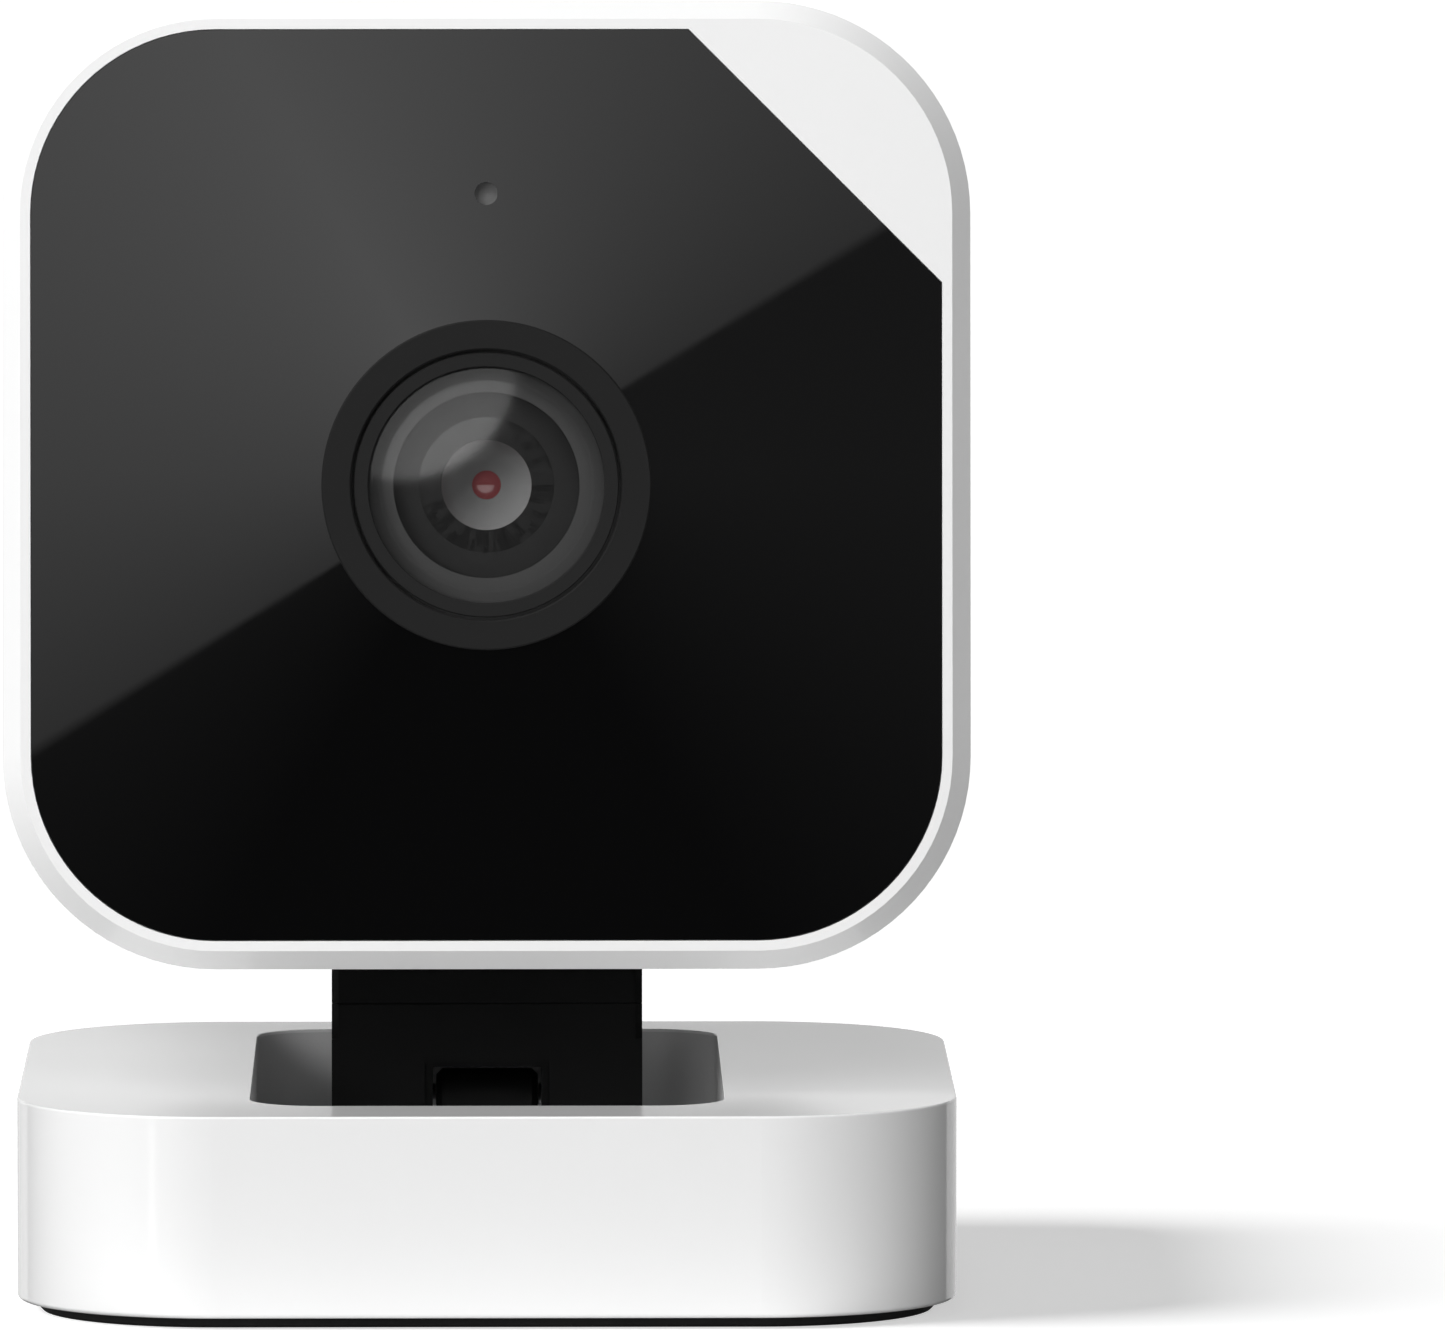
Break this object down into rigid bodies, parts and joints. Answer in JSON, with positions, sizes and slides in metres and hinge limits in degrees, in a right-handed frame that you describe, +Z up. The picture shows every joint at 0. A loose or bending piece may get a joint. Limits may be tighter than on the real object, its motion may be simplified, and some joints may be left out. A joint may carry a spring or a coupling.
{
  "type": "security camera",
  "caption": "Compact indoor security camera: square head with smoked front window and domed lens, on a tilting black neck that stands in the pocket of a square white base.",
  "frame": {"origin": "centre of the foot pad's underside, where the base rests on a desk", "axes": "+Z up, -Y the way the lens looks, +X to the viewer's right when facing the lens"},
  "size_m": [0.052, 0.0527, 0.0699],
  "materials": {
    "white_casing": "satin white moulded plastic",
    "pocket_plastic": "grey moulded plastic",
    "black_plastic": "fine-textured black moulded plastic",
    "button_plastic": "dark grey moulded plastic",
    "smoked_window": "polished smoked acrylic",
    "lens_trim": "matt black",
    "clear_glass": "coated optical glass",
    "tinted_filter": "reddish coated filter glass",
    "grey_gauze": "woven acoustic gauze",
    "foot_rubber": "matt rubber",
    "steel": "plain steel",
    "screw_steel": "zinc-plated",
    "bearing_plastic": "natural acetal",
    "circuit_board": "green solder mask",
    "chip_plastic": "moulded epoxy",
    "lamp_plastic": "clear-capped lamp",
    "ribbon": "amber polyimide",
    "spreader_aluminium": "mill finish",
    "speaker_cone_film": "pressed film"
  },
  "bodies": {
    "base": {"base_shell": "white_casing", "pocket_tub": "pocket_plastic", "base_plate": "black_plastic", "base_screws": "screw_steel", "foot_pad": "foot_rubber", "base_weights": "steel", "hinge_bracket": "black_plastic"},
    "neck": {"hinge_pin": "steel", "friction_washers": "steel", "neck_yoke": "black_plastic", "neck_cap": "black_plastic", "neck_screws": "screw_steel", "swivel_shaft": "steel", "swivel_washer": "steel", "swivel_nut": "steel"},
    "button": {"setup_button": "button_plastic"},
    "head": {"board_screws": "screw_steel", "button_switch": "chip_plastic", "cover_gasket": "foot_rubber", "cover_screws": "screw_steel", "flex_sockets": "chip_plastic", "front_window": "smoked_window", "heat_spreader": "spreader_aluminium", "housing": "white_casing", "image_sensor": "chip_plastic", "infrared_filter": "tinted_filter", "infrared_leds": "lamp_plastic", "led_board": "circuit_board", "lens_baffle": "lens_trim", "lens_barrel": "lens_trim", "lens_bezel": "lens_trim", "lens_dome": "clear_glass", "lens_front_element": "clear_glass", "lens_holder": "lens_trim", "lens_iris": "lens_trim", "lens_rear_element": "clear_glass", "lens_retainer": "lens_trim", "light_sensor": "chip_plastic", "main_board": "circuit_board", "memory_chips": "chip_plastic", "mic_gauze": "grey_gauze", "microphone": "steel", "processor": "chip_plastic", "radio_shield": "steel", "rear_cover": "white_casing", "sensor_board": "circuit_board", "sensor_flex": "ribbon", "sensor_screws": "screw_steel", "speaker": "steel", "speaker_cone": "speaker_cone_film", "speaker_gasket": "foot_rubber", "speaker_mesh": "grey_gauze", "status_light": "lamp_plastic", "swivel_bush": "bearing_plastic", "usb_port": "steel", "usb_tongue": "chip_plastic", "wifi_antenna": "ribbon"}
  },
  "joints": [
    {"name": "neck_tilt", "type": "hinge", "parent": "base", "child": "neck", "pos_m": [0, 0.016, 0.00713], "axis": [1, 0, 0], "range_deg": [-18, 11]},
    {"name": "head_pan", "type": "hinge", "parent": "neck", "child": "head", "pos_m": [0, 0.016, 0.00713], "axis": [0, 0.0732, 0.9973], "range_deg": [-170, 170]},
    {"name": "setup_button_press", "type": "slide", "parent": "head", "child": "button", "axis": [0, -0.9973, 0.0732], "range_m": [0, 0.0004], "stiffness_N_per_m": 1500}
  ]
}
